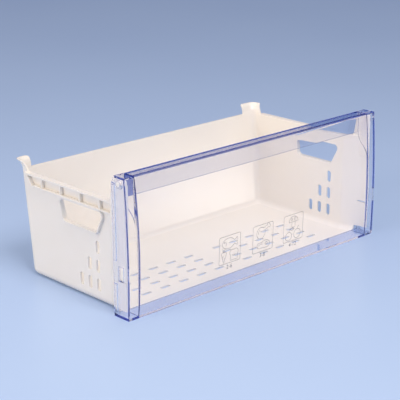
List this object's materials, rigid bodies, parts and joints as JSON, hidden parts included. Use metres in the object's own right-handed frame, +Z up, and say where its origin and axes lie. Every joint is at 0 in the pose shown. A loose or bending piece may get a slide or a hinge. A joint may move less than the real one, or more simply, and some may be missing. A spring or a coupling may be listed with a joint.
{
  "type": "fridge freezer drawer",
  "caption": "White moulded food drawer for a fridge-freezer, with guide rails, hand holes and vent slots, and a clear clip-on front with a grip along its top edge",
  "frame": {"origin": "on the underside of the tray, midway between the plane of the clear front's top edge and the back of the rim, on the centre plane", "axes": "+X along the front to the right as seen from the front, +Y from the clear front to the back wall, +Z up"},
  "size_m": [0.426, 0.2221, 0.168],
  "materials": {
    "white_plastic": "warm white polystyrene, injection moulded, soft gloss",
    "clear_plastic": "clear polystyrene, injection moulded, faint cool tint in thick edges"
  },
  "bodies": {
    "tray": {"tray": "white_plastic"},
    "front": {"front_pane": "clear_plastic", "left_end_cap": "clear_plastic", "right_end_cap": "clear_plastic"}
  },
  "joints": [
    {"name": "front_swing", "type": "hinge", "parent": "tray", "child": "front", "pos_m": [0, -0.094, 0.159], "axis": [-1, 0, 0], "range_deg": [0, 25]}
  ]
}
